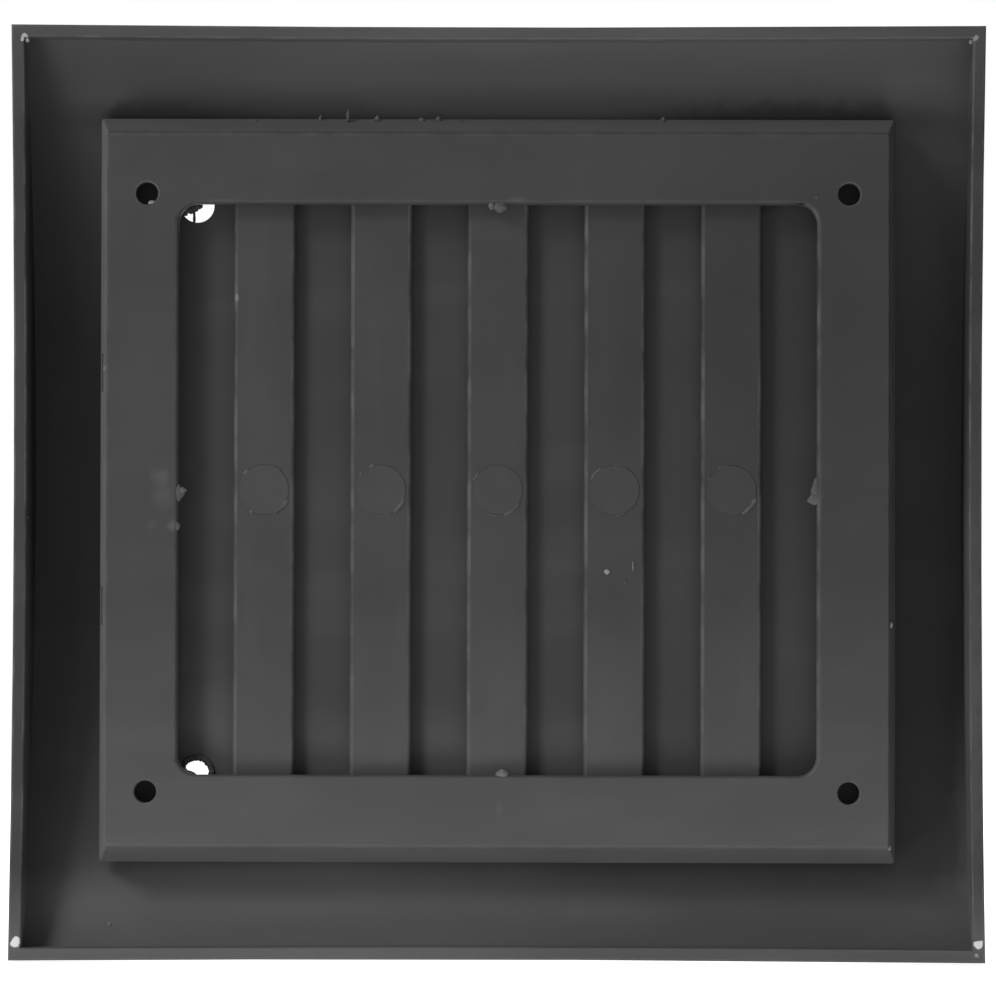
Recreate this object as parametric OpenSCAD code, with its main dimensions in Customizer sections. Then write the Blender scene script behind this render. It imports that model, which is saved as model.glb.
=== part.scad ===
// Plastic vent grille with a bow-fronted cover, a five-bar louvre plate and a clip-on mounting frame.
// Millimetres. X runs across, Z up, and Y from the wall (Y = 0) towards the room.
// The origin is the centre of the four screw holes, on the wall plane.

/* [Louvre bars] */
// Number of upright bars
bar_count = 5; // [3:1:8]
// Distance from one bar to the next
bar_pitch = 18; // [15:0.5:22]
// Width of one bar
bar_w = 9.4; // [6:0.1:11]
// Thickness of a bar
bar_t = 1.5; // [1.2:0.1:1.8]
// Rounding of a bar's two rear edges
bar_edge_r = 0.7; // [0.3:0.1:1]
// Clear gap between an outer bar and the side of the opening
side_gap = 8.4; // [5:0.1:12]
// Distance from an ejector pin's mark to the edges of its bar
ejector_margin = 0.9; // [0.4:0.1:1.5]
// Height of the ejector pin marks
ejector_rise = 0.12; // [0.05:0.01:0.25]

/* [Mounting frame] */
// Height of the frame's opening
opening_h = 87.8; // [60:1:140]
// Corner radius of the opening
opening_r = 3; // [1:0.5:8]
// Width of the frame's face beside the opening
side_band = 11.1; // [9:0.1:16]
// Width of the frame's face above and below the opening
end_band = 11; // [9:0.1:16]
// Thickness of the frame's face
frame_t = 2.5; // [2:0.1:3]
// Depth of the frame's skirt from the wall
skirt_depth = 7; // [6.5:0.1:8]
// How far the skirt's sides spread on their way to the front
side_draft = 1.3; // [0.5:0.1:2.5]
// How far the skirt's top and bottom spread on their way to the front
end_draft = 2.6; // [0.5:0.1:3]
// Wall of the skirt
skirt_wall = 1.6; // [1.2:0.1:2]
// Height of the frame's centre above the screw holes' centre
frame_rise = 0.5; // [0:0.1:2]
// Diameter of the screw holes
screw_d = 3.4; // [3:0.1:4.5]
// Distance of the screw holes from the sides of the frame's face
screw_inset_x = 6.2; // [5.5:0.1:8]
// Distance of the screw holes from the ends of the frame's face, before the rise
screw_inset_z = 8.9; // [6:0.1:11]
// Diameter left free for a screw's head
head_d = 7; // [6:0.5:8]

/* [Cover] */
// Clear channel between the skirt and the cover's sides
side_channel = 11.5; // [6:0.1:25]
// Clear channel between the skirt and the cover's top and bottom
end_channel = 12.5; // [9:0.1:25]
// Wall of the cover's rim
rim_wall = 2; // [1.6:0.1:3]
// Thickness of the bowed front
front_wall = 2; // [1.5:0.1:2.6]
// Depth of the cover at the crown of its bow
crown_depth = 19; // [17:0.5:26]
// Depth of the cover at its top and bottom edges
edge_depth = 6.5; // [5:0.5:9]
// Rounding of the front's two side edges
front_edge_r = 2; // [1:0.1:3]
// Chamfer of the front's top and bottom edges
end_chamfer = 1.2; // [0.5:0.1:1.6]
// Inward bow of the two sides, left by the moulding's shrinkage
side_bow = 0.65; // [0:0.05:1]
// Inward bow of the top and bottom
end_bow = 0.35; // [0:0.05:1]
// Wall of the collar that carries the louvre plate
collar_wall = 1.8; // [1.4:0.1:2.4]
// Thickness of the slotted front panel
panel_t = 1.8; // [1.2:0.1:2.4]
// How far each bar covers the panel on either side of its slot
slot_cover = 1.2; // [0.5:0.1:1.5]
// How far a slot stops short of the opening's top and bottom
slot_stop = 1.9; // [0:0.1:6]
// Diameter of the two weep holes
weep_d = 5.2; // [3:0.1:6]
// Distance of the weep holes from the side of the opening
weep_inset = 2.6; // [1.5:0.1:5]

/* [Fit] */
// Clearance between pieces that drop into each other
fit_gap = 0.3; // [0.2:0.05:0.5]
// Air gap between the bars and the slotted panel
air_gap = 1.2; // [0.8:0.1:2]
// Height of the clips above and below the frame's centre
clip_z = 18; // [10:1:25]
// Width of a clip's hook
clip_w = 5; // [3:0.5:8]

/* [Hidden] */
$fn = 96;
bow_fn = 360;
bow_steps = 12;
eps = 0.01;

bars_span = (bar_count - 1) * bar_pitch;
opening_w = bars_span + bar_w + 2 * side_gap;
face_w = opening_w + 2 * side_band;
face_h = opening_h + 2 * end_band;
skirt_w = face_w + 2 * side_draft;
skirt_h = face_h + 2 * end_draft;
cover_w = skirt_w + 2 * side_channel + 2 * rim_wall;
cover_h = skirt_h + 2 * end_channel + 2 * rim_wall;
screw_x = face_w / 2 - screw_inset_x;
screw_z = face_h / 2 - screw_inset_z;

// The skirt's spread at the back of the frame's face sets how wide the collar may be
side_spread = side_draft * frame_t / skirt_depth;
end_spread = end_draft * frame_t / skirt_depth;
collar_w = face_w + 2 * (side_spread - skirt_wall - fit_gap);
collar_h = face_h + 2 * (end_spread - skirt_wall - fit_gap);
well_w = collar_w - 2 * collar_wall;
well_h = collar_h - 2 * collar_wall;
plate_w = well_w - 2 * fit_gap;
plate_h = well_h - 2 * fit_gap;

// Depths of the stacked layers, counted from the wall
bar_y = frame_t + fit_gap;
seat_y = bar_y + bar_t;
panel_y = seat_y + air_gap;
seat_w = 2.2;

// The bars run on this far behind the frame before they meet their rails
rail_hide = 3.5;
gap_h = opening_h + 2 * rail_hide;
slot_w = bar_w - 2 * slot_cover;
slot_l = opening_h - 2 * slot_stop;
ejector_d = bar_w - 2 * ejector_margin;

// The bow is a cylinder about an axis along X
bow_rise = crown_depth - edge_depth;
bow_r = (pow(cover_h / 2, 2) + pow(bow_rise, 2)) / (2 * bow_rise);
// Cosine of the bow's slope at its top and bottom edges
chamfer_run = sqrt(1 - pow(cover_h / 2 / bow_r, 2));

clip_play = 0.4;
hook_y = frame_t + (skirt_depth - frame_t) / 2;
hook_t = 1.8;
hook_tip = 0.6;
hook_x = face_w / 2 + side_draft * hook_y / skirt_depth - clip_play;

function bar_x(i) = (i - (bar_count - 1) / 2) * bar_pitch;
function shrink(t, bow) = bow * (1 - t * t);
function ramp(i) = 2 * i / bow_steps - 1;

// The rim's outline, each side a shallow parabola that sinks towards its middle
function outline(w, h) = concat(
    [for (i = [0:bow_steps - 1]) [w / 2 - shrink(ramp(i), side_bow), ramp(i) * h / 2]],
    [for (i = [0:bow_steps - 1]) [-ramp(i) * w / 2, h / 2 - shrink(ramp(i), end_bow)]],
    [for (i = [0:bow_steps - 1]) [-w / 2 + shrink(ramp(i), side_bow), -ramp(i) * h / 2]],
    [for (i = [0:bow_steps - 1]) [ramp(i) * w / 2, -h / 2 + shrink(ramp(i), end_bow)]]
);

// Extrudes a shape drawn in X and Z from one depth to another
module slab(from_y, to_y) {
    translate([0, to_y, 0])
        rotate([90, 0, 0])
            linear_extrude(height = to_y - from_y) children();
}

module rounded_square(w, h, r) {
    square([w - 2 * r, h], center = true);
    square([w, h - 2 * r], center = true);
    for (sx = [-1, 1], sy = [-1, 1])
        translate([sx * (w / 2 - r), sy * (h / 2 - r)]) circle(r = r);
}

// Solid under the bow, with its two side edges rounded
module bow(r, w, edge_r) {
    translate([0, crown_depth - bow_r, 0])
        rotate([0, 90, 0])
            rotate_extrude($fn = bow_fn)
                intersection() {
                    rounded_square(2 * r, w, edge_r);
                    translate([0, -w / 2]) square([r, w]);
                }
}

// Height of the chamfers' shared slope at the given depth
function chamfer_z(y) = cover_h / 2
    - (y - edge_depth + end_chamfer) * chamfer_run / (1 + cover_h / 2 / bow_r);

// Everything behind the two chamfers
module chamfered_ends() {
    front_y = crown_depth + 1;
    translate([-cover_w, 0, 0])
        rotate([90, 0, 90])
            linear_extrude(height = 2 * cover_w)
                polygon([
                    [-1, -cover_h / 2],
                    [edge_depth - end_chamfer, -cover_h / 2],
                    [front_y, -chamfer_z(front_y)],
                    [front_y, chamfer_z(front_y)],
                    [edge_depth - end_chamfer, cover_h / 2],
                    [-1, cover_h / 2]
                ]);
}

module outer_body() {
    intersection() {
        slab(0, crown_depth + 1) polygon(outline(cover_w, cover_h));
        bow(bow_r, cover_w, front_edge_r);
        chamfered_ends();
    }
}

module inner_space() {
    intersection() {
        slab(-1, crown_depth) polygon(outline(cover_w - 2 * rim_wall, cover_h - 2 * rim_wall));
        bow(bow_r - front_wall, cover_w, eps);
    }
}

// Everything carried on the frame's centre is lifted with it
module lifted() {
    translate([0, 0, frame_rise]) children();
}

module collar() {
    lifted()
        slab(frame_t, crown_depth) difference() {
            square([collar_w, collar_h], center = true);
            square([well_w, well_h], center = true);
        }
}

// Two ledges that carry the louvre plate's rails
module seats() {
    lifted()
        slab(seat_y, panel_y + eps) difference() {
            square([well_w + eps, well_h + eps], center = true);
            square([well_w + 1, well_h - 2 * seat_w], center = true);
        }
}

module slotted_panel() {
    lifted()
        slab(panel_y, panel_y + panel_t) difference() {
            square([well_w + eps, well_h + eps], center = true);
            for (i = [0:bar_count - 1])
                translate([bar_x(i), 0]) rounded_square(slot_w, slot_l, slot_w / 2 - eps);
            for (s = [-1, 1])
                translate([weep_inset - opening_w / 2, s * opening_h / 2]) circle(d = weep_d);
        }
}

// Hook on the collar's side, sloped towards the wall and square towards the room
module hook() {
    translate([0, 0, -clip_w / 2])
        linear_extrude(height = clip_w)
            polygon([
                [collar_w / 2 - eps, hook_y - hook_t / 2],
                [hook_x, hook_y + hook_t / 2 - hook_tip],
                [hook_x, hook_y + hook_t / 2],
                [collar_w / 2 - eps, hook_y + hook_t / 2]
            ]);
}

module at_clips() {
    lifted()
        for (side = [0, 1], s = [-1, 1])
            mirror([side, 0, 0]) translate([0, 0, s * clip_z]) children();
}

module at_screws() {
    for (sx = [-1, 1], sz = [-1, 1])
        translate([sx * screw_x, 0, sz * screw_z]) rotate([-90, 0, 0]) children();
}

module head_pockets() {
    translate([0, frame_t - 1, 0])
        at_screws() cylinder(d = head_d, h = panel_y - frame_t + 1);
}

module cover() {
    color("#3d3f40") difference() {
        union() {
            difference() {
                outer_body();
                inner_space();
                lifted() slab(-1, crown_depth + 1) square([well_w, well_h], center = true);
            }
            intersection() {
                collar();
                outer_body();
            }
            seats();
            slotted_panel();
            at_clips() hook();
        }
        head_pockets();
    }
}

// Section of a bar, its rear face towards the wall
module bar_profile() {
    translate([-bar_w / 2, bar_edge_r]) square([bar_w, bar_t - bar_edge_r]);
    translate([bar_edge_r - bar_w / 2, 0]) square([bar_w - 2 * bar_edge_r, bar_t]);
    for (s = [-1, 1])
        translate([s * (bar_w / 2 - bar_edge_r), bar_edge_r]) circle(r = bar_edge_r);
}

module bar() {
    translate([0, bar_y, -gap_h / 2 - eps])
        linear_extrude(height = gap_h + 2 * eps) bar_profile();
    slab(bar_y - ejector_rise, bar_y + bar_t / 2) circle(d = ejector_d);
}

// Upright bars between a top and a bottom rail
module louvre_plate() {
    color("#434546") difference() {
        lifted() {
            slab(bar_y, seat_y) difference() {
                square([plate_w, plate_h], center = true);
                square([plate_w + 1, gap_h], center = true);
            }
            for (i = [0:bar_count - 1])
                translate([bar_x(i), 0, 0]) bar();
        }
        head_pockets();
    }
}

// Block whose four sides spread from its rear face to its front edge
module spread_block(w, h, side, end, from_y, to_y) {
    intersection() {
        translate([0, 0, -h])
            linear_extrude(height = 2 * h)
                polygon([
                    [-w / 2, from_y],
                    [w / 2, from_y],
                    [w / 2 + side, to_y],
                    [-w / 2 - side, to_y]
                ]);
        translate([-w, 0, 0])
            rotate([90, 0, 90])
                linear_extrude(height = 2 * w)
                    polygon([
                        [from_y, -h / 2],
                        [to_y, -h / 2 - end],
                        [to_y, h / 2 + end],
                        [from_y, h / 2]
                    ]);
    }
}

module mounting_frame() {
    inner_w = face_w + 2 * (side_spread - skirt_wall);
    inner_h = face_h + 2 * (end_spread - skirt_wall);
    over = 1 + frame_t / skirt_depth;
    color("#484a4b") difference() {
        lifted() spread_block(face_w, face_h, side_draft, end_draft, 0, skirt_depth);
        lifted() spread_block(inner_w, inner_h, (side_draft - side_spread) * over,
            (end_draft - end_spread) * over, frame_t, frame_t + (skirt_depth - frame_t) * over);
        lifted() slab(-1, frame_t + 1) rounded_square(opening_w, opening_h, opening_r);
        translate([0, -1, 0]) at_screws() cylinder(d = screw_d, h = frame_t + 2);
        at_clips()
            translate([collar_w / 2 - 1, hook_y - hook_t / 2 - clip_play, -clip_w / 2 - clip_play])
                cube([skirt_wall + side_draft + 3, hook_t + 2 * clip_play, clip_w + 2 * clip_play]);
    }
}

cover();
louvre_plate();
mounting_frame();
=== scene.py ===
import bpy
import bmesh
import math
import random
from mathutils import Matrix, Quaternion, Vector


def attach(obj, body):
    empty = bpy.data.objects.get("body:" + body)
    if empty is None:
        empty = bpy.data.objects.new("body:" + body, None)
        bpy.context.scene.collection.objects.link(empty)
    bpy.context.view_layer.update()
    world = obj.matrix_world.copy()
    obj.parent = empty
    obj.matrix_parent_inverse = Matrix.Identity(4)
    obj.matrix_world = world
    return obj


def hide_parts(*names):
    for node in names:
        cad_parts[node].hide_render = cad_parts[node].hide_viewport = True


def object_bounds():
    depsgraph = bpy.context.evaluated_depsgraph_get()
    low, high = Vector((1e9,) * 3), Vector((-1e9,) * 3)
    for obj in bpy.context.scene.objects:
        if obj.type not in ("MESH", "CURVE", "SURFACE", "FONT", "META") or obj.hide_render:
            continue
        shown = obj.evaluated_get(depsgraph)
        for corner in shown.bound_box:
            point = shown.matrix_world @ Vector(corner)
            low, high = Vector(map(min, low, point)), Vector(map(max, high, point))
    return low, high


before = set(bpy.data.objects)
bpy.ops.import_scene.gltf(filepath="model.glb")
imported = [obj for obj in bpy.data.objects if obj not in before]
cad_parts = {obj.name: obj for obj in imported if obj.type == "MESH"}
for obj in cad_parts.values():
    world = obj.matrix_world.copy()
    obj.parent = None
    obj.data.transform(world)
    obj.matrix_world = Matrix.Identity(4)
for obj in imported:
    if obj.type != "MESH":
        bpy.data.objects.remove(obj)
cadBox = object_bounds()
print("grille loaded from the packed model")

mm = 0.001

# camera: square on to the back of the grille, a little low
cameraView = {
    "distance": 0.95,        # metres from the wall plane
    "toTheRight": 0.44,      # degrees
    "below": 1.1,            # degrees
    "roll": 0.14,            # degrees
    "aim": (0.10, 0.0, -1.1),    # mm, the middle of the picture on the wall plane
    "pictureHeight": 153.6,  # mm of the wall plane that the picture's height takes in
    "sensor": 36,            # mm
    "clip": (0.05, 20),      # metres
}


def placeCamera(view):
    bpy.ops.object.camera_add()
    camera = bpy.context.object
    aim = Vector(view["aim"]) * mm
    right, below = math.radians(view["toTheRight"]), math.radians(view["below"])
    back = Vector((math.sin(right) * math.cos(below), -math.cos(right) * math.cos(below), -math.sin(below)))
    camera.location = aim + back * view["distance"]
    level = (-back).to_track_quat("-Z", "Y")
    camera.rotation_euler = (level @ Quaternion((0, 0, 1), math.radians(view["roll"]))).to_euler()
    camera.data.sensor_width = view["sensor"]
    camera.data.lens = view["sensor"] * view["distance"] / (view["pictureHeight"] * mm)
    camera.data.clip_start, camera.data.clip_end = view["clip"]
    bpy.context.scene.camera = camera


placeCamera(cameraView)
print("camera placed")

# lamps: "up" is degrees off the wall plane towards the back of the grille, "round" is degrees
# anticlockwise from the picture's right, "far", "wide" and "high" are metres
lamps = {
    "topLeft": {"up": 35, "round": 135, "far": 1.00, "wide": 0.25, "high": 0.25, "watts": 3.80},
    "topLow": {"up": 22, "round": 125, "far": 0.60, "wide": 0.15, "high": 0.15, "watts": 0.27},
    "tallLeft": {"up": 44, "round": 172, "far": 0.60, "wide": 0.12, "high": 0.50, "watts": 0.41},
    "lowLeft": {"up": 18, "round": 180, "far": 0.60, "wide": 0.10, "high": 0.40, "watts": 0.19},
    "bottomLeft": {"up": 40, "round": 225, "far": 0.50, "wide": 0.15, "high": 0.15, "watts": 0.60},
    "bottomCard": {"up": 30, "round": 270, "far": 0.16, "wide": 0.25, "high": 0.03, "watts": 0.042},
    "lowerRightCard": {"up": 40, "round": 302, "far": 0.22, "wide": 0.08, "high": 0.08, "watts": 0.071},
    # these two light the bowed front, which the photo doesn't show
    "roomSide": {"up": -50, "round": 60, "far": 1.10, "wide": 0.70, "high": 0.70, "watts": 7.0},
    "roomFill": {"up": -30, "round": 150, "far": 1.10, "wide": 0.70, "high": 0.70, "watts": 4.0},
}
room = {
    "grey": 0.02,                # how strongly the backdrop lights the grille
    "white": 1.0,                # how bright it looks
    "floorColour": "#E6E6E4",
    "floorSize": 12.0,           # metres
    "floorGap": 0.3,             # mm under the grille
    "floorGlow": (0.88, 1.0),    # near the grille and far off
    "glowFrom": 0.35,            # metres from the grille where the glow starts to rise
    "glowTo": 0.80,              # and where it is full
}


def addLamp(name, lamp):
    up, turn = math.radians(lamp["up"]), math.radians(lamp["round"])
    toLamp = Vector((math.cos(turn) * math.cos(up), -math.sin(up), math.sin(turn) * math.cos(up)))
    bpy.ops.object.light_add(type="AREA", location=toLamp * lamp["far"])
    light = bpy.context.object
    light.name = name
    light.rotation_euler = toLamp.to_track_quat("Z", "Y").to_euler()
    light.data.shape = "RECTANGLE"
    light.data.size, light.data.size_y = lamp["wide"], lamp["high"]
    light.data.energy = lamp["watts"]
    light.visible_camera = False


# one node, with its settings and with a value or a link for each socket
def node(tree, kind, feeds=None, **settings):
    made = tree.nodes.new("ShaderNode" + kind)
    for name, value in settings.items():
        setattr(made, name, value)
    for socket, source in (feeds or {}).items():
        if isinstance(source, bpy.types.NodeSocket):
            tree.links.new(source, made.inputs[socket])
        else:
            made.inputs[socket].default_value = source
    return made


def linear(hexColour):
    parts = [int(hexColour[i:i + 2], 16) / 255 for i in (1, 3, 5)]
    return tuple(c / 12.92 if c <= 0.04045 else ((c + 0.055) / 1.055) ** 2.4 for c in parts) + (1,)


def seenAsBackground(tree):
    path = node(tree, "LightPath")
    seen = node(tree, "Math", {0: path.outputs["Is Camera Ray"], 1: path.outputs["Is Glossy Ray"]}, operation="MAXIMUM")
    both = node(tree, "Math", {0: seen.outputs[0], 1: path.outputs["Is Transmission Ray"]}, operation="MAXIMUM")
    return both.outputs[0]


def lightRoom():
    world = bpy.data.worlds.new("paleRoom")
    bpy.context.scene.world = world
    world.use_nodes = True
    tree = world.node_tree
    tree.nodes.clear()
    grey = node(tree, "Background", {"Color": (1, 1, 1, 1), "Strength": room["grey"]})
    white = node(tree, "Background", {"Color": (1, 1, 1, 1), "Strength": room["white"]})
    mix = node(tree, "MixShader", {0: seenAsBackground(tree), 1: grey.outputs[0], 2: white.outputs[0]})
    node(tree, "OutputWorld", {"Surface": mix.outputs[0]})


def addFloor():
    level = cadBox[0].z - room["floorGap"] * mm
    bpy.ops.mesh.primitive_plane_add(size=room["floorSize"], location=(0, 0, level))
    floor = bpy.context.object
    floor.name = "paleFloor"
    bpy.ops.object.transform_apply(location=True, rotation=True, scale=True)
    floor.visible_shadow = False      # the lamps below the grille shine through it
    material = bpy.data.materials.new("whitePaintedBoard")
    material.use_nodes = True
    tree = material.node_tree
    tree.nodes.clear()
    board = node(tree, "BsdfDiffuse", {"Color": linear(room["floorColour"])})
    away = node(tree, "VectorMath", {0: node(tree, "TexCoord").outputs["Object"]}, operation="LENGTH")
    near, far = room["floorGlow"]
    strength = node(tree, "MapRange", {"Value": away.outputs["Value"], "From Min": room["glowFrom"],
                                       "From Max": room["glowTo"], "To Min": near, "To Max": far})
    glow = node(tree, "Emission", {"Color": (1, 1, 1, 1), "Strength": strength.outputs[0]})
    glowing = node(tree, "AddShader", {0: board.outputs[0], 1: glow.outputs[0]})
    mix = node(tree, "MixShader", {0: seenAsBackground(tree), 1: board.outputs[0], 2: glowing.outputs[0]})
    node(tree, "OutputMaterial", {"Surface": mix.outputs[0]})
    floor.data.materials.append(material)


for lampName, lamp in lamps.items():
    addLamp(lampName, lamp)
lightRoom()
addFloor()
bpy.context.scene.view_settings.view_transform = "Standard"
print("room lit")

# modelling helpers: sizes and places in millimetres, angles in degrees
angles = {"flat": 0.3, "rounded": 30, "bow": 4, "pieceSharp": 35, "scrapSharp": 50}
touch = 0.02          # what is this near to a plane lies on it
alongAxis = 0.9       # an edge whose direction has this much of an axis runs along it


def makeActive(piece):
    bpy.ops.object.select_all(action="DESELECT")
    piece.select_set(True)
    bpy.context.view_layer.objects.active = piece


# a CAD node's mesh, copied, merged and cleared of the edges that cross its flat faces
def copyOfNode(nodeName, pieceName, weld):
    piece = bpy.data.objects.new(pieceName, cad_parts[nodeName].data.copy())
    bpy.context.collection.objects.link(piece)
    piece.data.materials.clear()
    makeActive(piece)
    bpy.ops.object.mode_set(mode="EDIT")
    bpy.ops.mesh.select_all(action="SELECT")
    bpy.ops.mesh.remove_doubles(threshold=weld * mm)
    bpy.ops.mesh.dissolve_limited(angle_limit=math.radians(angles["flat"]))
    bpy.ops.object.mode_set(mode="OBJECT")
    return piece


# rounds the sharp edges that pick() chooses by their middle and direction, and marks the new faces lighter by the
# function given: as wear, and as a painted highlight where that function paints one
def roundEdges(piece, radius, steps, pick, wearAndHighlight=lambda middle, out: 1.0):
    makeActive(piece)
    bpy.ops.object.mode_set(mode="EDIT")
    bpy.ops.mesh.select_mode(type="EDGE")
    bpy.ops.mesh.select_all(action="DESELECT")
    mesh = bmesh.from_edit_mesh(piece.data)
    if not mesh.faces.layers.float.get("edgeWearAndHighlight"):
        mesh.faces.layers.float.new("edgeWearAndHighlight")
    chosen = 0
    for edge in mesh.edges:
        if len(edge.link_faces) != 2 or edge.calc_face_angle() < math.radians(angles["rounded"]):
            continue
        start, end = edge.verts[0].co, edge.verts[1].co
        if pick((start + end) / 2 / mm, (end - start).normalized(), edge.is_convex):
            edge.select_set(True)
            chosen += 1
    bmesh.update_edit_mesh(piece.data)
    if chosen:
        bpy.ops.mesh.bevel(offset=radius * mm, segments=steps, profile=0.5, affect="EDGES", clamp_overlap=False)
        mesh = bmesh.from_edit_mesh(piece.data)
        wornAndLit = mesh.faces.layers.float["edgeWearAndHighlight"]
        for face in mesh.faces:
            if face.select:
                face[wornAndLit] = wearAndHighlight(face.calc_center_median() / mm, face.normal)
        bmesh.update_edit_mesh(piece.data)
    bpy.ops.object.mode_set(mode="OBJECT")
    print("  " + piece.name + ":", chosen, "edges rounded to", radius, "mm")


# shades the faces of the bow, inside and out, as the true curve that their flat strips stand for
def shadeAsBow(piece, bow):
    mesh = piece.data
    normals = [corner.vector.copy() for corner in mesh.corner_normals]
    for face in mesh.polygons:
        middle = face.center / mm
        spoke = Vector((0, middle.y - bow["centreY"], middle.z))
        if min(abs(spoke.length - radius) for radius in bow["radii"]) > bow["within"]:
            continue
        side = face.normal.dot(spoke.normalized())
        if abs(side) < math.cos(math.radians(angles["bow"])):
            continue
        for loop in face.loop_indices:
            at = mesh.vertices[mesh.loops[loop].vertex_index].co / mm
            normals[loop] = Vector((0, at.y - bow["centreY"], at.z)).normalized() * math.copysign(1, side)
    mesh.normals_split_custom_set(normals)


# torn plastic turns pale: marks every face of a scrap as worn, and as pale as asked; on the lumps at the rim's corners
# this pale is a painted glint
def markScrap(piece, pale):
    for name, amount in (("edgeWearAndHighlight", 1.0), ("tornPaleAndGlint", pale)):
        layer = piece.data.attributes.new(name, "FLOAT", "FACE")
        for face in layer.data:
            face.value = amount


# what a scrap has unless it says otherwise: how rough and pale it is, and which way its tip points
scrapMake = {"rough": 0.12, "pale": 0.15, "tip": (0, 0, -1), "tipFrom": 0.15, "tipEnd": 0.4, "tipSize": 0.55}


# a torn lump of plastic: an ico sphere pulled to size, tapered to its tip, and roughened
def addScrap(scrap, seed):
    scrap = {**scrapMake, **scrap}
    bpy.ops.object.select_all(action="DESELECT")
    bpy.ops.mesh.primitive_ico_sphere_add(subdivisions=3, radius=0.5 * mm, location=[c * mm for c in scrap["at"]])
    lump = bpy.context.object      # 1 mm across, so its size is in millimetres too
    bpy.ops.object.mode_set(mode="EDIT")
    bpy.ops.mesh.select_all(action="SELECT")
    bpy.ops.transform.resize(value=scrap["size"], center_override=lump.location)
    bpy.ops.transform.vertex_random(offset=scrap["rough"] * mm, seed=seed)
    bpy.ops.mesh.select_all(action="DESELECT")
    mesh = bmesh.from_edit_mesh(lump.data)
    tip, longest = Vector(scrap["tip"]), max(scrap["size"])
    for vertex in mesh.verts:
        vertex.select_set(vertex.co.dot(tip) > scrap["tipFrom"] * mm * longest)
    mesh.select_flush(True)
    bmesh.update_edit_mesh(lump.data)
    end = lump.location + tip * scrap["tipEnd"] * mm * longest
    bpy.ops.transform.resize(value=[scrap["tipSize"]] * 3, center_override=end)
    bpy.ops.mesh.select_all(action="SELECT")
    bpy.ops.mesh.normals_make_consistent(inside=False)
    bpy.ops.object.mode_set(mode="OBJECT")
    bpy.ops.object.transform_apply(location=True, rotation=True, scale=True)
    bpy.ops.object.shade_smooth_by_angle(angle=math.radians(angles["scrapSharp"]))
    markScrap(lump, scrap["pale"])
    return lump


# what all threads have: a ring every few degrees, and two smaller rings at each end; "rough" is a share of the
# thickness
threadMake = {"pale": 0.0, "sides": 8, "ringEvery": 4, "fewestRings": 4, "endSizes": (0.15, 0.7), "rough": 0.35,
              "seed": 7}


# a raised thread of plastic round part of a circle that lies in the X-Z plane
def addThread(thread):
    thread = {**threadMake, **thread}
    centre, radius, thick = Vector(thread["centre"]) * mm, thread["radius"] * mm, thread["thick"] * mm
    start, sweep = math.radians(thread["from"]), math.radians(thread["sweep"])
    outward = Vector((math.cos(start), 0, math.sin(start)))
    along = Vector((-math.sin(start), 0, math.cos(start)))
    bpy.ops.object.select_all(action="DESELECT")
    bpy.ops.mesh.primitive_circle_add(vertices=thread["sides"], radius=thick, fill_type="NGON",
                                      location=centre + outward * radius,
                                      rotation=along.to_track_quat("Z", "Y").to_euler())
    strand = bpy.context.object
    bpy.ops.object.transform_apply(location=True, rotation=True, scale=True)
    bpy.ops.object.mode_set(mode="EDIT")
    bpy.ops.mesh.select_all(action="SELECT")
    rings = max(thread["fewestRings"], int(thread["sweep"] / thread["ringEvery"]))
    bpy.ops.mesh.spin(steps=rings, angle=sweep, center=centre, axis=(0, 1, 0))
    mesh = bmesh.from_edit_mesh(strand.data)
    first, second = thread["endSizes"]
    for ring, size in ((0, first), (1, second), (rings - 1, second), (rings, first)):
        turn = start + sweep * ring / rings
        here = centre + Vector((math.cos(turn), 0, math.sin(turn))) * radius
        ahead = Vector((-math.sin(turn), 0, math.cos(turn)))
        bpy.ops.mesh.select_all(action="DESELECT")
        for vertex in mesh.verts:      # only this ring's own
            offset = vertex.co - here
            vertex.select_set(offset.length < 1.1 * thick and abs(offset.dot(ahead)) < 0.02 * mm)
        mesh.select_flush(True)
        bpy.ops.transform.resize(value=(size, size, size), center_override=here)
    bpy.ops.mesh.select_all(action="SELECT")
    bpy.ops.transform.vertex_random(offset=thread["rough"] * thick, seed=thread["seed"])
    bpy.ops.mesh.remove_doubles(threshold=0.001 * mm)
    bpy.ops.mesh.fill_holes(sides=0)
    bpy.ops.mesh.normals_make_consistent(inside=False)
    bpy.ops.object.mode_set(mode="OBJECT")
    bpy.ops.object.shade_smooth_by_angle(angle=math.radians(angles["scrapSharp"]))
    markScrap(strand, thread["pale"])
    return strand


# scraps become part of the piece, so they move and bake with it
def joinScraps(piece, scraps, threads=()):
    lumps = [addScrap(scrap, index + 1) for index, scrap in enumerate(scraps)]
    lumps += [addThread(thread) for thread in threads]
    bpy.ops.object.select_all(action="DESELECT")
    for lump in lumps:
        lump.select_set(True)
    piece.select_set(True)
    bpy.context.view_layer.objects.active = piece
    bpy.ops.object.join()
    print("  " + piece.name + ":", len(lumps), "scraps of flash")


def finishPiece(piece, nodeName, material, bow=None):
    makeActive(piece)
    piece.data.materials.append(material)
    bpy.ops.object.shade_smooth_by_angle(angle=math.radians(angles["pieceSharp"]))
    weighted = piece.modifiers.new("evenShading", "WEIGHTED_NORMAL")
    weighted.keep_sharp = True
    bpy.ops.object.modifier_apply(modifier="evenShading")
    if bow:
        shadeAsBow(piece, bow)
    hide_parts(nodeName)
    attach(piece, "root")


# Map Range's values: from none to full between two limits, or from one share to another
def band(limits, share=(0, 1)):
    return {"From Min": limits[0], "From Max": limits[1], "To Min": share[0], "To Max": share[1]}
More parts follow.
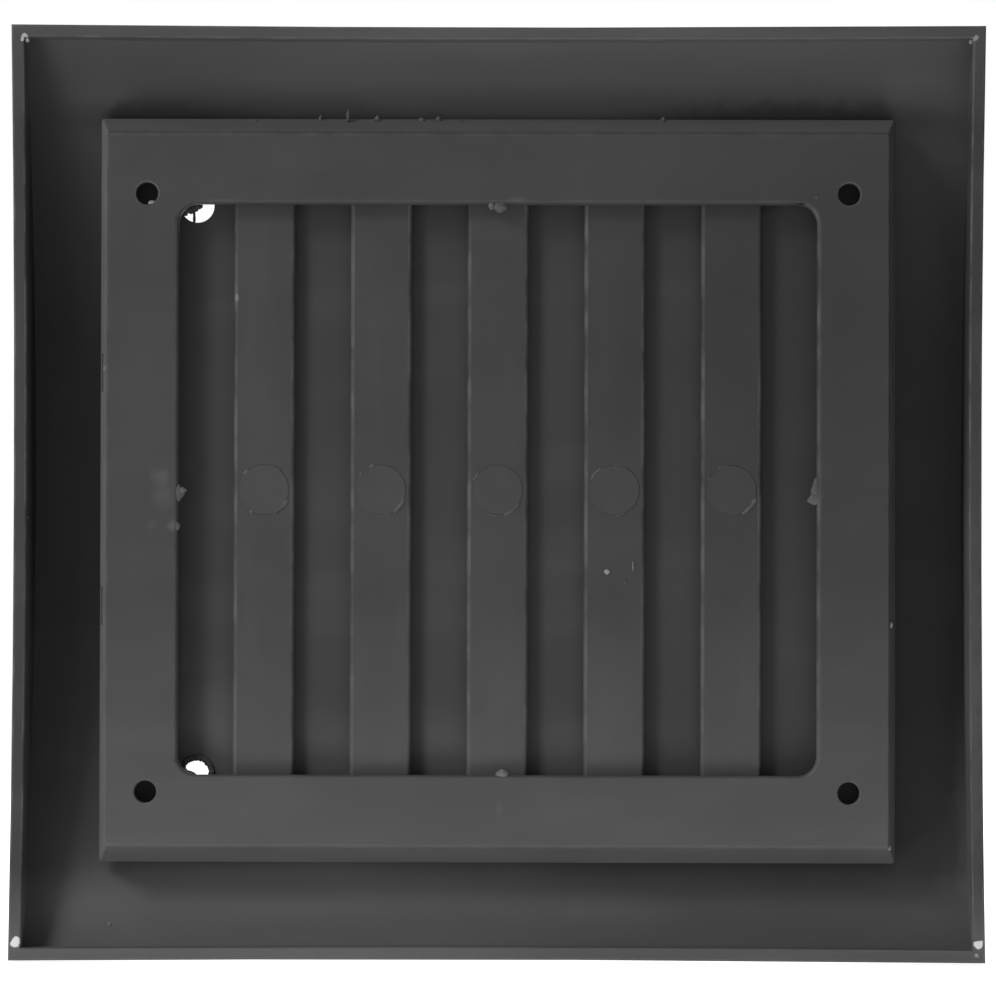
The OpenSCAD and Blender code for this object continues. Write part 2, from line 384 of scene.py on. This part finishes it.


# Moulded ABS, coloured anthracite in the melt: an even, matte dark grey. It shows slow cloudy drift and faint
# streaks where the melt flowed, the fine grain of the spark-eroded mould, a few pale specks of dust, painted light
# paler towards its ends, and edges painted lighter, as wear and as painted highlights. Plastic that tore turns pale.
def mouldedAbs(name, look):
    material = bpy.data.materials.new(name)
    material.use_nodes = True
    tree = material.node_tree
    tree.nodes.clear()
    place = node(tree, "TexCoord").outputs["Object"]

    # drift and streaks
    drift = node(tree, "TexNoise", {"Vector": place, "Scale": 1 / (look["driftMm"] * mm), "Detail": 3.0,
                                    "Roughness": 0.55})
    driftShare = node(tree, "MapRange", {"Value": drift.outputs["Fac"], **band(look["driftBand"])})
    base = node(tree, "Mix", {"Factor": driftShare.outputs[0], "A": linear(look["dark"]), "B": linear(look["light"])},
                data_type="RGBA")
    stretched = node(tree, "Mapping", {"Vector": place, "Scale": look["streakStretch"]})
    flow = node(tree, "TexNoise", {"Vector": stretched.outputs[0], "Scale": 1 / (look["streakMm"] * mm), "Detail": 2.0})
    streaks = node(tree, "MapRange", {"Value": flow.outputs["Fac"],
                                      **band(look["streakBand"], (0, look["streakAmount"]))})

    # specks: one dot in a few of the cells
    cells = node(tree, "TexVoronoi", {"Vector": place, "Scale": 1 / (look["dustEveryMm"] * mm), "Randomness": 1.0})
    reach = look["dustMm"] / look["dustEveryMm"]
    dots = node(tree, "MapRange", {"Value": cells.outputs["Distance"], **band((reach, look["dustCore"] * reach))})
    draws = node(tree, "SeparateColor", {"Color": cells.outputs["Color"]})
    drawn = node(tree, "Math", {0: draws.outputs[0], 1: 1 - look["dustShare"]}, operation="GREATER_THAN")
    specks = node(tree, "Math", {0: dots.outputs[0], 1: drawn.outputs[0]}, operation="MULTIPLY")

    # painted light: paler towards both ends, cloudy, on all but what faces the room
    height = node(tree, "SeparateXYZ", {"Vector": place}).outputs["Z"]
    ends = [node(tree, "MapRange", {"Value": height, **band([z * mm for z in look[end]], (0, look["endLightAmount"]))})
            for end in ("lowEndLightMm", "highEndLightMm")]
    bothEnds = node(tree, "Math", {0: ends[0].outputs[0], 1: ends[1].outputs[0]}, operation="ADD")
    facing = node(tree, "SeparateXYZ", {"Vector": node(tree, "NewGeometry").outputs["True Normal"]})
    rear = node(tree, "MapRange", {"Value": facing.outputs["Y"], **band(look["rearBand"])})
    cloudy = node(tree, "MapRange", {"Value": flow.outputs["Fac"], **band(look["cloudBand"], look["cloudShare"])})
    rearCloud = node(tree, "Math", {0: cloudy.outputs[0], 1: rear.outputs[0]}, operation="MULTIPLY").outputs[0]
    paleAndLit = node(tree, "Math", {0: bothEnds.outputs[0], 1: rearCloud}, operation="MULTIPLY")

    # spots of pale blush, painted light and painted shade with ragged edges; sockets 9 and 10 are the vector's To Min
    # and To Max
    ragged = node(tree, "TexNoise", {"Vector": place, "Scale": 1 / (look["raggedMm"] * mm), "Detail": 2.0})
    raggedReach = 0.5 * mm * look["raggedMm"]
    shift = node(tree, "MapRange", {"Vector": ragged.outputs["Color"], 9: [-raggedReach] * 3, 10: [raggedReach] * 3},
                 data_type="FLOAT_VECTOR")
    shifted = node(tree, "VectorMath", {0: place, 1: shift.outputs["Vector"]}, operation="ADD")
    spots = []
    for spot in look["spots"]:
        offset = node(tree, "VectorMath", {0: shifted.outputs[0], 1: [c * mm for c in spot["at"]]},
                      operation="SUBTRACT")
        inSizes = node(tree, "VectorMath", {0: offset.outputs[0], 1: [2 / (c * mm) for c in spot["size"]]},
                       operation="MULTIPLY")
        away = node(tree, "VectorMath", {0: inSizes.outputs[0]}, operation="LENGTH")
        share = node(tree, "MapRange", {"Value": away.outputs["Value"],
                                        **band((1, spot["core"]), (0, spot["amount"]))}, interpolation_type="SMOOTHSTEP")
        clouded = node(tree, "Math", {0: share.outputs[0], 1: rearCloud}, operation="MULTIPLY")
        spots.append((clouded.outputs[0], spot.get("colour", look["paleAndLit"])))

    # faces that the pieces mark: painted light on the skirt's sides, pin discs, rounded edges worn and painted as
    # highlights, and torn scraps, some painted pale as glints
    marks = {mark: node(tree, "Attribute", attribute_name=mark).outputs["Fac"]
             for mark in ("skirtPaintedLight", "pinMark", "edgeWearAndHighlight", "tornPaleAndGlint")}
    skirtLight = node(tree, "Math", {0: marks["skirtPaintedLight"], 1: rearCloud}, operation="MULTIPLY")
    pin = node(tree, "Math", {0: marks["pinMark"], 1: look["pinAmount"]}, operation="MULTIPLY")
    patchy = node(tree, "TexNoise", {"Vector": place, "Scale": 1 / (look["wearAndHighlightMm"] * mm), "Detail": 3.0})
    patches = node(tree, "MapRange", {"Value": patchy.outputs["Fac"],
                                      **band(look["wearAndHighlightBand"], (0, look["wearAndHighlightAmount"]))})
    wearAndHighlight = node(tree, "Math", {0: marks["edgeWearAndHighlight"], 1: patches.outputs[0]}, operation="MULTIPLY")

    # each coat lies over the ones before it
    coats = [(streaks.outputs[0], look["streak"]), (specks.outputs[0], look["dust"]), (paleAndLit.outputs[0], look["paleAndLit"])]
    coats += spots
    coats += [(skirtLight.outputs[0], look["paleAndLit"]), (pin.outputs[0], look["paleAndLit"]), (wearAndHighlight.outputs[0], look["wornAndLitEdge"]),
              (marks["tornPaleAndGlint"], look["tornAndGlint"])]
    colour = base.outputs[2]
    for amount, hexColour in coats:
        colour = node(tree, "Mix", {"Factor": amount, "A": colour, "B": linear(hexColour)}, data_type="RGBA").outputs[2]

    # the grain of the mould and the slow sink of the walls
    roughness = node(tree, "MapRange", {"Value": drift.outputs["Fac"], **band(look["roughBand"], look["roughness"])})
    grain = node(tree, "TexNoise", {"Vector": place, "Scale": 1 / (look["grainMm"] * mm), "Detail": 2.0,
                                    "Roughness": 0.6})
    grainBump = node(tree, "Bump", {"Strength": look["grainStrength"], "Distance": look["grainDepthMm"] * mm,
                                    "Height": grain.outputs["Fac"]})
    sink = node(tree, "TexNoise", {"Vector": place, "Scale": 1 / (look["sinkMm"] * mm), "Detail": 1.0})
    sinkBump = node(tree, "Bump", {"Strength": look["sinkStrength"], "Distance": look["sinkDepthMm"] * mm,
                                   "Height": sink.outputs["Fac"], "Normal": grainBump.outputs[0]})
    shader = node(tree, "BsdfPrincipled", {"Base Color": colour, "Roughness": roughness.outputs[0], "IOR": look["ior"],
                                           "Specular IOR Level": look["specular"], "Normal": sinkBump.outputs[0]})
    node(tree, "OutputMaterial", {"Surface": shader.outputs[0]})
    return material


# the looks: a band is the part of its noise over which a pattern rises. A spot is an ellipsoid, "core" is the
# share of it that is full, and it has the pale colour unless it says otherwise
# the three darkest greys are painted shade and painted shadow; the palest paints glints on the rim's corners
paintedShade, paintedChannelShadow, paintedFrameShadow, tornAndGlint = "#1E1F20", "#1A1B1C", "#161718", "#E4E3E0"
coverLook = {
    "dark": "#343434", "light": "#3A3A3A", "driftMm": 26, "driftBand": (0.34, 0.66),
    "streak": "#454545", "streakMm": 9, "streakStretch": (0.25, 1.0, 1.0), "streakAmount": 0.5,
    "streakBand": (0.5, 0.75), "cloudBand": (0.2, 0.8), "cloudShare": (0.8, 1.2),
    "dust": "#8C8C8B", "dustEveryMm": 7.0, "dustMm": 0.22, "dustCore": 0.4, "dustShare": 0.10,
    # a pale colour; painted light makes the tray paler towards both ends
    "paleAndLit": "#6D6D6D", "endLightAmount": 0.42, "lowEndLightMm": (-58, -68), "highEndLightMm": (57, 82),
    "rearBand": (0.6, 0.3), "pinAmount": 0.06,
    "wornAndLitEdge": "#5D5D5D", "wearAndHighlightMm": 5.0, "wearAndHighlightAmount": 0.7, "wearAndHighlightBand": (0.40, 0.65), "tornAndGlint": "#D8D7D4",
    "roughness": (0.47, 0.58), "roughBand": (0.3, 0.7), "specular": 0.20, "ior": 1.52,
    # the real grain is about 0.1 mm wide, too fine to show, so it is drawn three pixels wide
    "grainMm": 0.45, "grainDepthMm": 0.02, "grainStrength": 0.35,
    "sinkMm": 9, "sinkDepthMm": 0.12, "sinkStrength": 0.5, "raggedMm": 2.2,
    "spots": [
        # pale patches of painted light: the tray's floor near its bottom and top, the panel's lower part and the right
        # wall's lower part
        {"at": (-30, 12, -66), "size": (120, 60, 26), "amount": 0.32, "core": 0.5},
        {"at": (16, 12, 66), "size": (140, 60, 24), "amount": 0.22, "core": 0.6},
        {"at": (-12, 6, -47), "size": (140, 10, 34), "amount": 0.30, "core": 0.2},
        {"at": (-45, 6, -38), "size": (24, 10, 26), "amount": 0.25, "core": 0.1},
        {"at": (73, 6, -30), "size": (6, 24, 100), "amount": 0.35, "core": 0.3},
        # painted shade over the panel's right side, and painted shadow down both side channels and on the floor above
        # the frame
        {"at": (48, 6, 20), "size": (70, 10, 110), "amount": 0.50, "core": 0.1, "colour": paintedShade},
        {"at": (-67, 12, 22), "size": (24, 30, 126), "amount": 0.78, "core": 0.3, "colour": paintedChannelShadow},
        {"at": (67, 12, 18), "size": (20, 30, 80), "amount": 0.62, "core": 0.2, "colour": paintedChannelShadow},
        {"at": (46, 12, 58.2), "size": (68, 30, 8), "amount": 0.72, "core": 0.3, "colour": paintedFrameShadow},
        {"at": (-54, 12, 58.2), "size": (42, 30, 8), "amount": 0.66, "core": 0.3, "colour": paintedFrameShadow},
        # painted glints at the rim's corners
        {"at": (-73.0, 0, 70.0), "size": (1.1, 2, 1.3), "amount": 0.6, "core": 0.7, "colour": tornAndGlint},
        {"at": (73.2, 0, 70.1), "size": (1.4, 2, 1.3), "amount": 0.35, "core": 0.7, "colour": tornAndGlint},
        {"at": (-73.8, 0, -69.0), "size": (1.8, 2, 1.8), "amount": 1.0, "core": 0.75, "colour": tornAndGlint},
        {"at": (73.9, 0, -69.2), "size": (1.8, 2, 1.6), "amount": 1.0, "core": 0.75, "colour": tornAndGlint},
        {"at": (73.5, 0, -70.9), "size": (0.9, 2, 0.8), "amount": 0.3, "core": 0.6, "colour": tornAndGlint},
    ],
}
barLook = {
    **coverLook, "dark": "#3A3A3A", "light": "#414141", "driftMm": 14,
    "streakMm": 5, "streakStretch": (1.0, 1.0, 0.2), "dustShare": 0.08, "roughness": (0.45, 0.56),
    # paler towards the lower end: painted light
    "endLightAmount": 0.30, "lowEndLightMm": (-16, -46), "highEndLightMm": (80, 90),
    # painted shade over the right-hand bars
    "spots": [{"at": (38, 3, 26), "size": (90, 30, 120), "amount": 0.42, "core": 0.1, "colour": paintedShade}],
}
frameLook = {
    **coverLook, "dark": "#3A3A3A", "light": "#404040", "driftMm": 20,
    "streakMm": 7, "dustShare": 0.12, "roughness": (0.45, 0.56),
    # paler towards the lower end: painted light
    "endLightAmount": 0.34, "lowEndLightMm": (-14, -56), "highEndLightMm": (80, 90),
    "spots": [
        # painted shade over the frame's right side
        {"at": (54, 0, 26), "size": (76, 30, 110), "amount": 0.30, "core": 0.1, "colour": paintedShade},
        # pale blush where the melt entered
        {"at": (-51.8, 0, 2.3), "size": (4.4, 6, 4.4), "amount": 0.26, "core": 0},
        {"at": (-51.4, 0, -0.6), "size": (5.0, 6, 6.0), "amount": 0.22, "core": 0},
        {"at": (-53.0, 0, -4.8), "size": (2.6, 6, 2.6), "amount": 0.16, "core": 0},
        {"at": (3.0, 0, 45.1), "size": (3.4, 6, 0.9), "amount": 0.26, "core": 0.2},
        {"at": (-49.8, 0.3, -5.2), "size": (1.8, 6, 2.4), "amount": 0.40, "core": 0.2},
        {"at": (0.4, 0, -48.6), "size": (2.2, 6, 4.4), "amount": 0.20, "core": 0},
    ],
}

coverPlastic = mouldedAbs("mouldedAbsCover", coverLook)
louvrePlastic = mouldedAbs("mouldedAbsBars", barLook)
framePlastic = mouldedAbs("mouldedAbsFrame", frameLook)
print("plastics mixed")


# the cover: bowed tray with its rim, the collar and the slotted panel
coverShape = {
    "weld": 0.03,
    "rimRound": (0.35, 2), "wellRound": (0.5, 3), "slotRound": (0.3, 2),      # radius and steps
    "panelFront": 7.3, "wellAhead": 8.8,      # depths of the panel's front and of all that is ahead of it
    "wellHalfWidth": 58.0, "wellLow": -52.5, "wellHigh": 53.5, "slotsHalfWidth": 42.0,
    "bow": {"centreY": 19 - 213.62, "radii": (213.62, 211.62), "within": 0.15},
    "scraps": [
        # lumps at the rim's upper inner corners, painted pale as glints
        {"at": (-72.5, 0.45, 69.5), "size": (0.6, 0.5, 0.7), "rough": 0.05, "pale": 0.4},
        {"at": (72.7, 0.45, 69.5), "size": (0.7, 0.5, 0.8), "rough": 0.05, "pale": 0.2},
        {"at": (-47.4, 5.4, 44.2), "size": (2.2, 0.5, 2.4), "rough": 0.06, "tip": (-0.3, 0, -1), "pale": 0.0},
        {"at": (-72.4, 1.2, -4.0), "size": (0.5, 0.6, 0.6), "rough": 0.05},
        {"at": (-59.8, 6.1, -66.6), "size": (0.7, 0.3, 0.7), "rough": 0.05},
        {"at": (44.7, 5.0, -69.9), "size": (0.5, 0.5, 0.3), "rough": 0.04},
    ],
    # a torn thread and a burr across the upper weep hole, and two burrs round the lower one
    "threads": [
        {"centre": (-53.4, 5.4, 42.6), "radius": 6.4, "from": -14, "sweep": 28, "thick": 0.20},
        {"centre": (-46.35, 5.45, 41.7), "radius": 2.7, "from": 76, "sweep": 80, "thick": 0.52},
        {"centre": (-46.35, 5.45, -40.9), "radius": 2.7, "from": 180, "sweep": 90, "thick": 0.42},
        {"centre": (-46.4, 5.5, -43.2), "radius": 2.35, "from": -40, "sweep": 240, "thick": 0.52},
    ],
}


def makeCover(shape):
    cover = copyOfNode("cover", "trayCover", shape["weld"])

    def onRim(middle, along, convex):
        return abs(middle.y) < touch

    def roundWell(middle, along, convex):
        return (convex and middle.y > shape["wellAhead"] and abs(middle.x) < shape["wellHalfWidth"]
                and shape["wellLow"] < middle.z < shape["wellHigh"])

    def roundSlots(middle, along, convex):
        return convex and abs(middle.y - shape["panelFront"]) < touch and abs(middle.x) < shape["slotsHalfWidth"]

    roundEdges(cover, *shape["rimRound"], onRim)
    roundEdges(cover, *shape["wellRound"], roundWell)
    roundEdges(cover, *shape["slotRound"], roundSlots)
    joinScraps(cover, shape["scraps"], shape["threads"])
    finishPiece(cover, "cover", coverPlastic, shape["bow"])


makeCover(coverShape)
print("cover made")

# the louvre plate: five upright bars with the round marks of the ejector pins
barShape = {
    "weld": 0.01,
    "rear": 2.8, "frontEdges": 4.2,      # depths of the bars' rear faces and of all edges at their fronts
    "endRound": (0.2, 2),                # radius and steps
    # the long rear edges are painted lighter as a highlight
    "longEdgeHighlight": 1.0, "slantedTo": 3.8, "slant": 0.2,      # the long edges are narrow slanted faces at the rear
    "pitch": 18, "pinHeight": 0.5, "pinRadius": 3.9, "pinRise": 0.12,
    "flashSunk": 0.15,      # how deep the middle of the flash round a pin lies in the bar
    # flash round each bar's pin, as degrees anticlockwise from the picture's right: start, sweep, thickness
    "pinFlash": {
        -2: [(-72, 52, 0.38), (-126, 16, 0.34), (42, 34, 0.28), (126, 20, 0.34)],
        -1: [(-62, 46, 0.42), (100, 20, 0.32), (133, 16, 0.32), (-112, 50, 0.24)],
        0: [(-79, 54, 0.32), (133, 30, 0.26), (-125, 40, 0.22)],
        1: [(-90, 34, 0.30), (118, 40, 0.26), (50, 50, 0.20)],
        2: [(-68, 55, 0.38), (92, 34, 0.30), (145, 14, 0.32)],
    },
    "scraps": [
        {"at": (16.9, 2.75, -12.1), "size": (0.9, 0.5, 0.9), "rough": 0.05, "pale": 0.35},
        {"at": (20.9, 2.75, -11.2), "size": (0.3, 0.25, 1.7), "rough": 0.05},
        {"at": (19.7, 2.75, -13.7), "size": (0.4, 0.25, 0.6), "rough": 0.05, "pale": 0.0},
        {"at": (-40.2, 3.0, 30.0), "size": (0.7, 0.6, 1.9), "rough": 0.05, "pale": 0.18},
    ],
}


def makeBars(shape):
    bars = copyOfNode("louvre_plate", "louvreBars", shape["weld"])

    def uprightAtFront(middle, along, convex):
        return convex and middle.y > shape["frontEdges"] and abs(along.z) > alongAxis

    roundEdges(bars, *shape["endRound"], uprightAtFront)
    # painted highlight on the bars' long rounded rear edges
    wearAndHighlight = bars.data.attributes["edgeWearAndHighlight"]
    for face in bars.data.polygons:
        out = face.normal
        if face.center.y < shape["slantedTo"] * mm and out.y < -shape["slant"] and abs(out.x) > shape["slant"]:
            wearAndHighlight.data[face.index].value = shape["longEdgeHighlight"]
    marks = bars.data.attributes.new("pinMark", "FLOAT", "FACE")
    for face in bars.data.polygons:
        if abs(face.center.y / mm - shape["rear"] + shape["pinRise"]) < touch:
            marks.data[face.index].value = 1.0
    threads = []
    for bar, arcs in shape["pinFlash"].items():
        centre = (bar * shape["pitch"], shape["rear"] + shape["flashSunk"], shape["pinHeight"])
        for start, sweep, thick in arcs:
            threads.append({"centre": centre, "radius": shape["pinRadius"], "from": start, "sweep": sweep,
                            "thick": thick})
    joinScraps(bars, shape["scraps"], threads)
    finishPiece(bars, "louvre_plate", louvrePlastic)


makeBars(barShape)
print("bars made")

# the mounting frame: flat face, opening, screw holes, skirt, and the rough stubs where it left the mould
topBit = {"rough": 0.08, "tip": (0, 0, 1), "pale": 0.06}
frameShape = {
    "weld": 0.01,
    "outerRound": (0.45, 3), "openingRound": (0.7, 3), "holeRound": (0.25, 2),      # radius and steps
    # the opening's rounded edge gets a painted highlight by which way it faces; the outer edges are worn
    "outerWear": 0.45, "leftFacingHighlight": 1.0, "downFacingHighlight": 0.0, "openingHighlight": 0.3, "facing": 0.3,
    "openingHalfWidth": 49.5, "openingLow": -43.9, "openingHigh": 44.9,
    "holeX": 54, "holeZ": 46, "holeReach": 2.2,
    "cornerX": 58, "cornerZ": 52,      # the skirt's corner edges lie outside these
    # painted light: each side of the skirt made paler by how much light it faces, between these depths and outside the
    # flat face
    "skirtLightBySide": {"top": 0.60, "left": 0.80, "right": 0.40, "bottom": 0.10, "from": 0.4, "to": 7.2,
                  "halfWidth": 60, "halfHeight": 54},
    # stubs torn off where the melt entered, in the middle of each side of the opening, and other flash
    "scraps": [
        {"at": (-1.0, 0.60, 44.2), "size": (1.0, 1.0, 1.5), "rough": 0.08, "pale": 0.08},
        {"at": (0.3, 0.85, 44.1), "size": (2.5, 1.5, 2.0), "rough": 0.12, "pale": 0.0},
        {"at": (-49.2, 0.65, -0.1), "size": (2.3, 1.1, 2.8), "rough": 0.09, "tip": (1, 0, 0), "pale": 0.02},
        {"at": (-48.4, 0.60, 0.3), "size": (1.5, 0.9, 1.0), "rough": 0.07, "tip": (1, 0, 0), "pale": 0.05},
        {"at": (-49.4, 0.55, -5.2), "size": (1.2, 0.9, 1.7), "rough": 0.06, "tip": (1, 0, 0), "pale": 0.06},
        {"at": (49.1, 0.65, 0.8), "size": (1.4, 1.1, 3.6), "rough": 0.08, "tip": (-0.9, 0, -0.4), "pale": 0.02},
        {"at": (48.7, 0.60, -0.9), "size": (2.4, 0.9, 1.8), "rough": 0.08, "tip": (-1, 0, -0.3), "pale": 0.03},
        {"at": (0.85, 0.75, -43.2), "size": (2.1, 1.2, 1.5), "rough": 0.13, "tip": (0, 0, 1), "pale": 0.10},
        {"at": (-53.2, 0.35, 44.5), "size": (1.3, 0.6, 0.8), "rough": 0.05, "pale": 0.30},
        {"at": (60.3, 0.6, -54.4), "size": (0.6, 0.5, 0.9), "rough": 0.05, "pale": 0.22},
        {"at": (-60.4, 0.9, 19.0), "size": (0.5, 0.6, 1.0), "rough": 0.05, "tip": (-1, 0, 0), "pale": 0.12},
        {"at": (60.5, 1.0, -20.1), "size": (0.5, 0.6, 1.0), "rough": 0.05, "tip": (1, 0, 0), "pale": 0.5},
        {**topBit, "at": (-27.6, 6.2, 57.9), "size": (0.6, 0.5, 1.6), "tip": (0.3, 0, 1)},
        {**topBit, "at": (-23.3, 5.4, 58.4), "size": (0.5, 0.5, 2.2), "tip": (0.3, 0, 1), "rough": 0.10},
        {**topBit, "at": (-18.8, 6.2, 57.9), "size": (0.9, 0.5, 1.4)},
        {**topBit, "at": (-11.9, 6.2, 57.8), "size": (1.0, 0.5, 0.8)},
        {**topBit, "at": (-9.3, 6.2, 58.0), "size": (0.8, 0.5, 1.0)},
        {**topBit, "at": (-3.9, 6.0, 57.2), "size": (0.8, 0.5, 0.6)},
        {**topBit, "at": (9.2, 6.0, 57.2), "size": (0.7, 0.5, 0.6)},
        {**topBit, "at": (18.6, 6.0, 57.2), "size": (0.7, 0.5, 0.6)},
        {**topBit, "at": (21.9, 6.0, 57.2), "size": (1.0, 0.5, 0.6)},
        {**topBit, "at": (25.5, 6.2, 57.9), "size": (0.8, 0.5, 1.0)},
        {**topBit, "at": (29.9, 6.0, 57.2), "size": (0.8, 0.5, 0.6)},
        {**topBit, "at": (33.6, 6.0, 57.2), "size": (0.7, 0.5, 0.6)},
    ],
    # small flash all along the top of the skirt
    "topFlash": {"count": 20, "x": (-41, 37), "y": (6.5, 5.6), "z": (57.0, 57.5), "long": (0.4, 1.8), "thick": 0.4,
                 "tall": (0.3, 0.7), "seed": 11},
}


def skirtFlash(flash):
    chance = random.Random(flash["seed"])
    bits = []
    for index in range(flash["count"]):
        at = [chance.uniform(*flash[axis]) for axis in ("x", "y", "z")]
        size = (chance.uniform(*flash["long"]), flash["thick"], chance.uniform(*flash["tall"]))
        bits.append({**topBit, "at": at, "size": size, "pale": 0.0})
    return bits


# painted light: marks each side of the skirt with its own share of the pale colour
def paintSkirtLight(piece, paleAndLit):
    layer = piece.data.attributes.new("skirtPaintedLight", "FLOAT", "FACE")
    for face in piece.data.polygons:
        middle, out = face.center / mm, face.normal
        onFace = abs(middle.x) < paleAndLit["halfWidth"] and abs(middle.z) < paleAndLit["halfHeight"]
        if onFace or not paleAndLit["from"] < middle.y < paleAndLit["to"]:
            continue
        if abs(out.x) > abs(out.z):
            layer.data[face.index].value = paleAndLit["right"] if out.x > 0 else paleAndLit["left"]
        else:
            layer.data[face.index].value = paleAndLit["top"] if out.z > 0 else paleAndLit["bottom"]


def makeFrame(shape):
    rearFrame = copyOfNode("mounting_frame", "rearFrame", shape["weld"])

    def onOpening(middle, along, convex):
        return (abs(middle.y) < touch and abs(middle.x) < shape["openingHalfWidth"]
                and shape["openingLow"] < middle.z < shape["openingHigh"])

    def onHole(middle, along, convex):
        return (abs(middle.y) < touch and abs(abs(middle.x) - shape["holeX"]) < shape["holeReach"]
                and abs(abs(middle.z) - shape["holeZ"]) < shape["holeReach"])

    def onOutside(middle, along, convex):
        if abs(middle.y) < touch:
            return not onOpening(middle, along, convex) and not onHole(middle, along, convex)
        return (convex and abs(along.y) > alongAxis and abs(middle.x) > shape["cornerX"]
                and abs(middle.z) > shape["cornerZ"])

    # painted highlight: the opening's edge is painted lighter where it faces left, towards the main lamps, and not
    # where it faces down into shade
    def openingHighlight(middle, out):
        if out.x < -shape["facing"]:
            return shape["leftFacingHighlight"]
        return shape["downFacingHighlight"] if out.z < -shape["facing"] else shape["openingHighlight"]

    roundEdges(rearFrame, *shape["openingRound"], onOpening, openingHighlight)
    roundEdges(rearFrame, *shape["holeRound"], onHole)
    roundEdges(rearFrame, *shape["outerRound"], onOutside, lambda middle, out: shape["outerWear"])
    paintSkirtLight(rearFrame, shape["skirtLightBySide"])
    joinScraps(rearFrame, shape["scraps"] + skirtFlash(shape["topFlash"]))
    finishPiece(rearFrame, "mounting_frame", framePlastic)


makeFrame(frameShape)
print("frame made")
